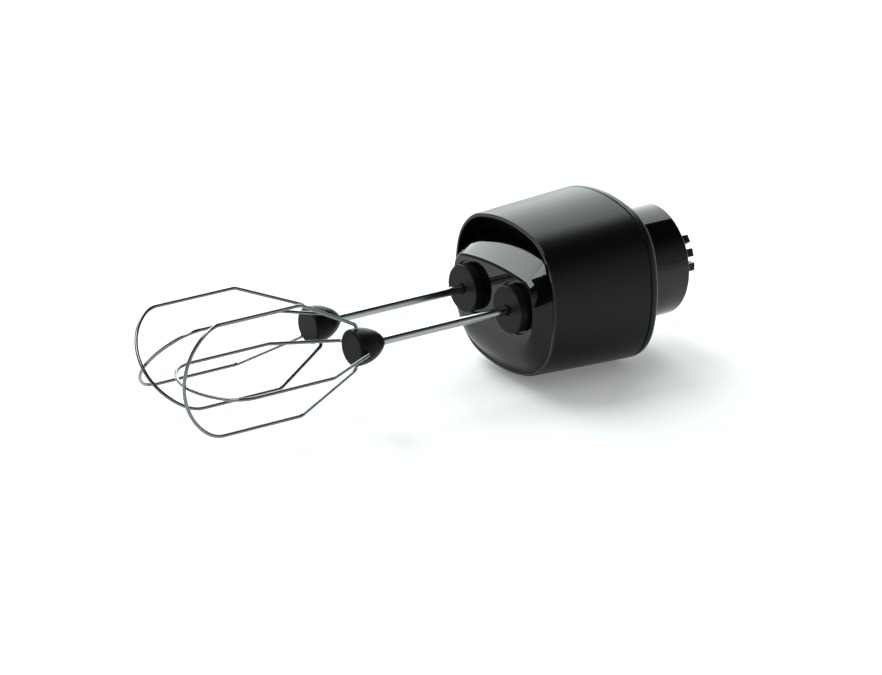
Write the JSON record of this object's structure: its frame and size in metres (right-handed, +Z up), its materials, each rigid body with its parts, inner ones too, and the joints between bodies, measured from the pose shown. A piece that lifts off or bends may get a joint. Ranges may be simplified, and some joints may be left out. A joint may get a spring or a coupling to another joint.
{
  "type": "twin whisk gear head",
  "caption": "Black twin-whisk gear head that plugs into a motor handle: squircle gearbox with a round neck, steel shafts and crossed wire whisks that counter-rotate and pull out.",
  "frame": {"origin": "on the tool axis at the rear rim of the neck, inside the drive socket", "axes": "+X along the tool axis out of the neck towards the motor handle, the whisks point to -X; +Y towards the far whisk; +Z up as it lies on its side"},
  "size_m": [0.2714, 0.0835, 0.0766],
  "materials": {
    "sleeve_plastic": "satin moulded",
    "gloss_plastic": "polished moulded",
    "crown_plastic": "moulded",
    "collar_plastic": "satin moulded",
    "whisk_steel": "polished",
    "gear_steel": "sintered and ground",
    "gear_plastic": "natural acetal",
    "plate_plastic": "glass-filled nylon",
    "fastener_steel": "zinc plated",
    "bush_bronze": "sintered",
    "seal_rubber": "matt"
  },
  "bodies": {
    "housing": {"outer_sleeve": "sleeve_plastic", "front_cap": "gloss_plastic", "rear_cover": "sleeve_plastic", "neck_tube": "gloss_plastic", "locking_crown": "crown_plastic", "bearing_plate": "plate_plastic", "ring_gear": "plate_plastic", "stage_cover": "plate_plastic", "stage_screws": "fastener_steel", "plate_screws": "fastener_steel", "neck_screws": "fastener_steel", "carrier_bush": "bush_bronze", "input_bush": "bush_bronze", "input_seal": "seal_rubber", "far_front_bush": "bush_bronze", "far_spindle_seal": "seal_rubber", "far_rear_bush": "bush_bronze", "near_front_bush": "bush_bronze", "near_spindle_seal": "seal_rubber", "near_rear_bush": "bush_bronze"},
    "input_drive": {"input_shaft": "gear_steel", "drive_coupling": "crown_plastic", "sun_gear": "gear_steel", "shaft_clip": "fastener_steel"},
    "planet_stage": {"planet_carrier": "gear_steel", "planet_pins": "gear_steel", "output_pinion": "gear_steel"},
    "planet_1": {"planet_gear_1": "gear_steel"},
    "planet_2": {"planet_gear_2": "gear_steel"},
    "planet_3": {"planet_gear_3": "gear_steel"},
    "far_drive": {"far_spindle": "gear_steel", "drive_wheel": "gear_plastic", "far_sync_gear": "gear_plastic", "far_spindle_clip": "fastener_steel", "far_detent_spring": "fastener_steel"},
    "near_drive": {"near_spindle": "gear_steel", "near_spacer": "gear_plastic", "near_sync_gear": "gear_plastic", "near_spindle_clip": "fastener_steel", "near_detent_spring": "fastener_steel"},
    "far_whisk": {"far_collar": "collar_plastic", "far_shaft": "whisk_steel", "far_hub": "collar_plastic", "far_loop_outer": "whisk_steel", "far_loop_inner": "whisk_steel"},
    "near_whisk": {"near_collar": "collar_plastic", "near_shaft": "whisk_steel", "near_hub": "collar_plastic", "near_loop_outer": "whisk_steel", "near_loop_inner": "whisk_steel"}
  },
  "joints": [
    {"name": "far_spindle_spin", "type": "hinge", "parent": "housing", "child": "far_drive", "pos_m": [-0.06, 0.017, 0], "axis": [1, 0, 0], "continuous": true},
    {"name": "near_spindle_spin", "type": "hinge", "parent": "housing", "child": "near_drive", "pos_m": [-0.06, -0.017, 0], "axis": [1, 0, 0], "continuous": true},
    {"name": "carrier_spin", "type": "hinge", "parent": "housing", "child": "planet_stage", "pos_m": [-0.06, 0, 0], "axis": [1, 0, 0], "continuous": true},
    {"name": "input_spin", "type": "hinge", "parent": "housing", "child": "input_drive", "pos_m": [-0.06, 0, 0], "axis": [1, 0, 0], "continuous": true},
    {"name": "planet_1_spin", "type": "hinge", "parent": "planet_stage", "child": "planet_1", "pos_m": [-0.042, 0, 0.012], "axis": [1, 0, 0], "continuous": true},
    {"name": "planet_2_spin", "type": "hinge", "parent": "planet_stage", "child": "planet_2", "pos_m": [-0.042, -0.01039, -0.006], "axis": [1, 0, 0], "continuous": true},
    {"name": "planet_3_spin", "type": "hinge", "parent": "planet_stage", "child": "planet_3", "pos_m": [-0.042, 0.01039, -0.006], "axis": [1, 0, 0], "continuous": true},
    {"name": "far_whisk_slide", "type": "slide", "parent": "far_drive", "child": "far_whisk", "axis": [-1, 0, 0], "range_m": [0, 0.024]},
    {"name": "near_whisk_slide", "type": "slide", "parent": "near_drive", "child": "near_whisk", "axis": [-1, 0, 0], "range_m": [0, 0.024]}
  ],
  "couplings": [
    {"joint": "near_spindle_spin", "follows": "far_spindle_spin", "ratio": -1},
    {"joint": "carrier_spin", "follows": "far_spindle_spin", "ratio": -2.4},
    {"joint": "input_spin", "follows": "far_spindle_spin", "ratio": -12},
    {"joint": "planet_1_spin", "follows": "far_spindle_spin", "ratio": 6.4},
    {"joint": "planet_2_spin", "follows": "far_spindle_spin", "ratio": 6.4},
    {"joint": "planet_3_spin", "follows": "far_spindle_spin", "ratio": 6.4}
  ]
}
